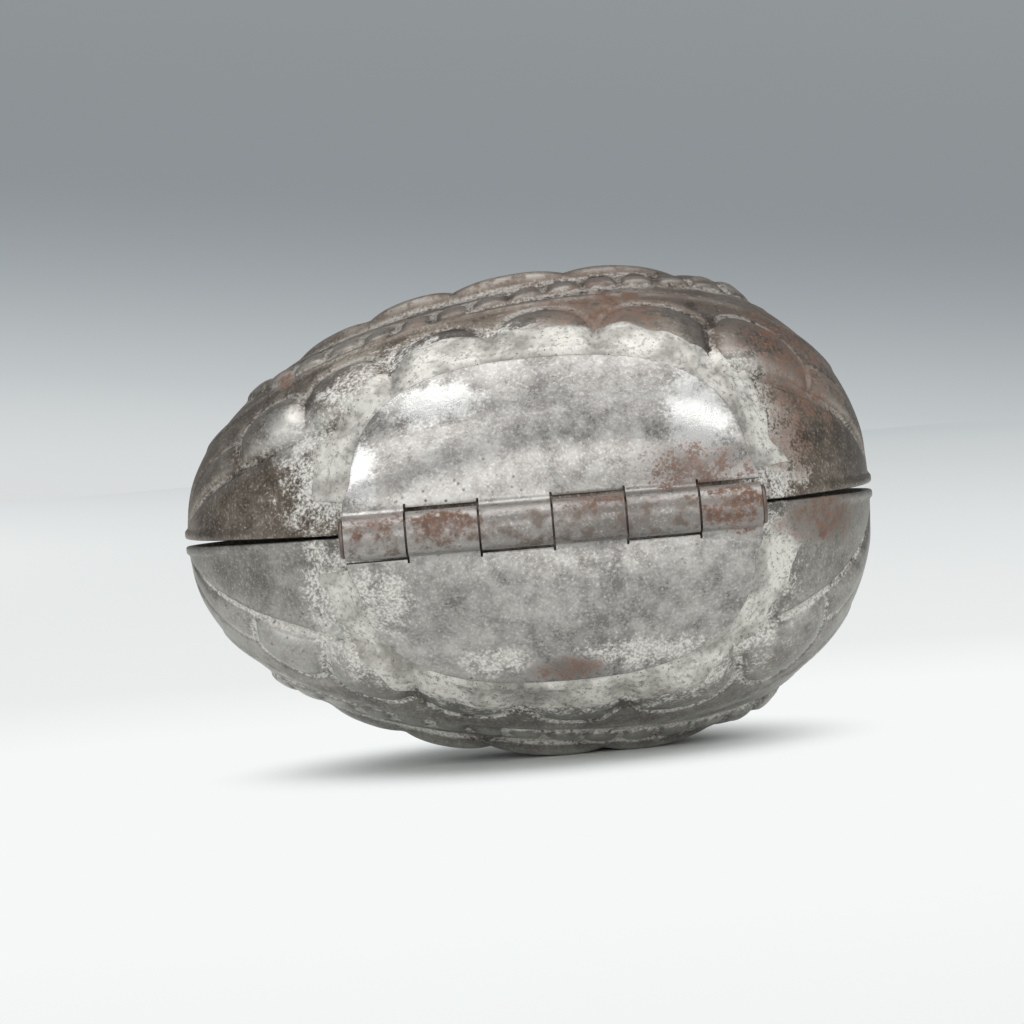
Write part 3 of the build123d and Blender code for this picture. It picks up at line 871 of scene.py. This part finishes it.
def soft_solder():
    """Tin and lead solder run on with an iron: dull, pale and lumpy, with yellowed flux. Its lumps
    are 5 mm across, its crust 0.7 mm and its pits 0.9 mm apart."""
    material, tree, place = new_finish("soft solder with dried flux")
    lumps = put(tree, "ShaderNodeTexNoise",
                {"Vector": place, "Scale": 210.0, "Detail": 4.0, "Roughness": 0.6})
    crust = put(tree, "ShaderNodeTexNoise",
                {"Vector": place, "Scale": 1400.0, "Detail": 3.0, "Roughness": 0.7})
    pits = put(tree, "ShaderNodeTexVoronoi", {"Vector": place, "Scale": 1100.0})
    base = put(tree, "ShaderNodeValToRGB", {"Fac": lumps})
    grade(base.color_ramp, ((0.34, "#96928b"), (0.47, "#bab6af"), (0.60, "#dedbd3")))
    metal = put(tree, "ShaderNodeMapRange",
                {"Value": crust, "From Min": 0.4, "From Max": 0.6, "To Min": 0.7, "To Max": 0.15})
    look = base, metal, 0.5
    # Yellowed flux, dark crust and the pits
    for value, start, end, most, code in (
        (crust, 0.58, 0.78, 0.6, "#c9c2b2"),
        (crust, 0.5, 0.34, 0.75, "#8b8780"),
        (pits, 0.16, 0.06, 1.0, "#4a4640"),
    ):
        mask = put(tree, "ShaderNodeMapRange",
                   {"Value": value, "From Min": start, "From Max": end, "To Max": most})
        look = laid_over(tree, look, mask, (paint(code), None, None))
    height = put(tree, "ShaderNodeMath", {0: crust, 1: 0.5, 2: lumps}, operation="MULTIPLY_ADD")
    dress(tree, look, height, 0.6, 0.15)
    return material


def drawn_wire():
    """Bright drawn steel wire gone dull brown, with stains of 2 mm and lines 0.4 mm apart along
    its length."""
    material, tree, place = new_finish("dull drawn steel wire")
    drawn = put(tree, "ShaderNodeMapping", {"Vector": place, "Scale": (0.1, 1.0, 1.0)})
    lines = put(tree, "ShaderNodeTexNoise", {"Vector": drawn, "Scale": 2600.0, "Detail": 3.0})
    stain = put(tree, "ShaderNodeTexNoise", {"Vector": place, "Scale": 500.0, "Detail": 4.0})
    colour = put(tree, "ShaderNodeMix", {0: stain, 6: paint("#4e3b36"), 7: paint("#8b8078")},
                 data_type="RGBA")
    height = put(tree, "ShaderNodeMath", {0: lines, 1: 0.4, 2: stain}, operation="MULTIPLY_ADD")
    dress(tree, (colour, 0.85, 0.45), height, 0.4, 0.1)
    return material


def shade_line_edge():
    """The bare sheared edge of the leaf sheet, painted near black in spots of 1.7 mm: painted shade
    that gives the leaf its thin dark outline."""
    material, tree, place = new_finish("sheared steel edge darkened as painted shade")
    edge_shade = put(tree, "ShaderNodeTexNoise", {"Vector": place, "Scale": 600.0, "Detail": 4.0})
    colour = put(tree, "ShaderNodeMix", {0: edge_shade, 6: paint("#2f2a27"), 7: paint("#6b645e")},
                 data_type="RGBA")
    dress(tree, (colour, 0.5, 0.6), edge_shade, 0.4, 0.1)
    return material


# The leaves' edges are painted dark as shade
leaf_shade_line = shade_line_edge()
solder = soft_solder()
wire = drawn_wire()

pressing = pressing_tree()
upper = pressed_half("upper_pressing", 1, pressing, upper_tin)
lower = pressed_half("lower_pressing", -1, pressing, lower_tin)
upper_leaf = hinge_leaf("upper_leaf", (0, 2, 4), 1, leaf_tin, leaf_shade_line)
lower_leaf = hinge_leaf("lower_leaf", (1, 3, 5), -1, leaf_tin, leaf_shade_line)
upper_seam = solder_seam("upper_solder", 1, solder, 21)
lower_seam = solder_seam("lower_solder", -1, solder, 34)

for piece, body, node, slot in (
    (upper, "upper_half", "upper_shell", "upper_tinplate"),
    (lower, "lower_half", "lower_shell", "lower_tinplate"),
    (upper_leaf, "upper_half", "upper_hinge_leaf", "leaf_tinplate"),
    (lower_leaf, "lower_half", "lower_hinge_leaf", "leaf_tinplate"),
    (upper_seam, "upper_half", "upper_leaf_solder", "solder"),
    (lower_seam, "lower_half", "lower_leaf_solder", "solder"),
):
    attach(piece, body)
    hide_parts(node)

pin = frame["nodes"]["hinge_pin"]
pin.data.materials.clear()
pin.data.materials.append(wire)

# The camera stands nearly level with the parting plane, square to the hinge, a little rolled
elevation, swing, roll = (math.radians(a) for a in (1.35, 0.27, 4.863))
view_distance, focal_pixels, picture_width, sensor_width = 0.6, 4087.8, 1024, 36.0
back = Vector((
    math.sin(swing) * math.cos(elevation),
    -math.cos(swing) * math.cos(elevation),
    math.sin(elevation),
))
right = Vector((math.cos(swing), math.sin(swing), 0))
over = back.cross(right)
aim = Vector((-2.366, 0.0, middle_height + 0.935)) * mm
across = right * math.cos(roll) - over * math.sin(roll)
upwards = right * math.sin(roll) + over * math.cos(roll)


def stage_floor():
    """A pale floor that fades with distance into the backdrop."""
    half = 4.0
    corners = [(-half, -half, 0), (half, -half, 0), (half, half, 0), (-half, half, 0)]
    mesh = bpy.data.meshes.new("floor")
    mesh.from_pydata(corners, [], [(0, 1, 2, 3)])
    floor = new_object("floor", mesh)
    material, tree, place = new_finish("pale matt board")
    far = put(tree, "ShaderNodeVectorMath", {0: place}, operation="LENGTH").outputs["Value"]
    away = put(tree, "ShaderNodeSeparateXYZ", {0: place}).outputs
    behind = put(tree, "ShaderNodeMath", {0: away["Y"], 1: 0.0}, operation="MAXIMUM")
    fade = put(tree, "ShaderNodeMath", {0: behind, 1: far}, operation="ADD")
    fade = put(tree, "ShaderNodeMath", {0: fade, 1: 1 / 12, 2: -1 / 60}, operation="MULTIPLY_ADD")
    fade = put(tree, "ShaderNodeMath", {0: fade, 1: 0.0}, operation="MAXIMUM")
    tilt = put(tree, "ShaderNodeMapRange", {"Value": away["Y"], "From Max": 1.6, "To Max": 0.7},
               interpolation_type="SMOOTHSTEP")
    fade = put(tree, "ShaderNodeMath", {0: away["X"], 1: tilt, 2: fade}, operation="MULTIPLY_ADD")
    tones = put(tree, "ShaderNodeValToRGB", {"Fac": fade})
    grade(tones.color_ramp, (
        (0.0, "#f5f8f7"), (0.02, "#eaedec"), (0.135, "#e1e4e4"), (0.235, "#dbdedf"),
        (0.307, "#d7dadb"), (0.494, "#cdd1d2"), (0.877, "#c0c5c7"),
    ))
    # Round the mould the board takes its shadow, and further off it keeps its plain tone
    near = put(tree, "ShaderNodeBsdfDiffuse", {"Color": tones})
    distant = put(tree, "ShaderNodeEmission", {"Color": tones})
    blend = put(tree, "ShaderNodeMapRange", {"Value": far, "From Min": 0.02, "From Max": 0.052},
                interpolation_type="SMOOTHSTEP")
    light = put(tree, "ShaderNodeLightPath").outputs
    seen = put(tree, "ShaderNodeMath", {0: light["Is Camera Ray"], 1: light["Is Glossy Ray"]},
               operation="MAXIMUM")
    blend = put(tree, "ShaderNodeMath", {0: blend, 1: seen}, operation="MULTIPLY")
    mixed = put(tree, "ShaderNodeMixShader", {0: blend, 1: near, 2: distant})
    put(tree, "ShaderNodeOutputMaterial", {"Surface": mixed})
    mesh.materials.append(material)


def studio_world():
    """A grey backdrop that darkens just above the table, and the plain light of the room."""
    world = bpy.data.worlds.new("studio")
    bpy.context.scene.world = world
    world.use_nodes = True
    tree = world.node_tree
    tree.nodes.clear()
    ray = put(tree, "ShaderNodeTexCoord").outputs["Generated"]
    height = put(tree, "ShaderNodeVectorMath", {0: ray, 1: tuple(upwards + 0.05 * across)},
                 operation="DOT_PRODUCT").outputs["Value"]
    shade = put(tree, "ShaderNodeMapRange", {"Value": height, "From Max": 0.14})
    tones = put(tree, "ShaderNodeValToRGB", {"Fac": shade})
    tones.color_ramp.interpolation = "B_SPLINE"
    grade(tones.color_ramp, (
        (0.0, "#dbdddd"), (0.09, "#d5d9da"), (0.2, "#c2c7c9"), (0.37, "#a0a6a9"),
        (0.545, "#878d90"), (1.0, "#95999c"),
    ))
    light = put(tree, "ShaderNodeLightPath").outputs
    seen = put(tree, "ShaderNodeMath", {0: light["Is Camera Ray"], 1: light["Is Transmission Ray"]},
               operation="MAXIMUM")
    backdrop = put(tree, "ShaderNodeBackground", {"Color": tones})
    # The metal mirrors a bright room in front and a darker one behind
    behind = put(tree, "ShaderNodeSeparateXYZ", {0: ray}).outputs["Y"]
    mirrored = put(tree, "ShaderNodeMapRange", {"Value": behind, "From Min": -0.1, "From Max": 0.5,
                                                "To Min": 0.92, "To Max": 0.36})
    level = put(tree, "ShaderNodeMix", {0: light["Is Glossy Ray"], 2: 0.66, 3: mirrored},
                data_type="FLOAT")
    room = put(tree, "ShaderNodeBackground", {"Color": paint("#e8ebec"), "Strength": level})
    mixed = put(tree, "ShaderNodeMixShader", {0: seen, 1: room, 2: backdrop})
    put(tree, "ShaderNodeOutputWorld", {"Surface": mixed})


def softbox(name, place, size, power):
    """A soft lamp turned to the mould, with its size in metres and its power in watts."""
    lamp = bpy.data.lights.new(name, "AREA")
    lamp.shape = "RECTANGLE"
    lamp.size, lamp.size_y = size
    lamp.energy = power
    holder = new_object(name, lamp)
    holder.location = place
    towards = Vector((0.0, 0.0, 0.03)) - Vector(place)
    holder.rotation_euler = towards.to_track_quat("-Z", "Y").to_euler()


stage_floor()
studio_world()
softbox("overhead", (0.0, -0.1, 0.75), (0.8, 0.6), 2.5)
softbox("left", (-0.7, -0.55, 0.45), (0.3, 0.4), 0.5)
softbox("right", (0.7, -0.5, 0.5), (0.3, 0.4), 0.5)
softbox("low front", (0.0, -1.0, 0.2), (1.4, 0.35), 2.6)

lens = bpy.data.cameras.new("camera")
lens.sensor_width = sensor_width
lens.lens = focal_pixels / picture_width * sensor_width
lens.clip_start = 0.01
camera = new_object("camera", lens)
turned = Matrix((across, upwards, back)).transposed().to_4x4()
camera.matrix_world = Matrix.Translation(aim + back * view_distance) @ turned
bpy.context.scene.camera = camera
bpy.context.scene.view_settings.view_transform = "Standard"
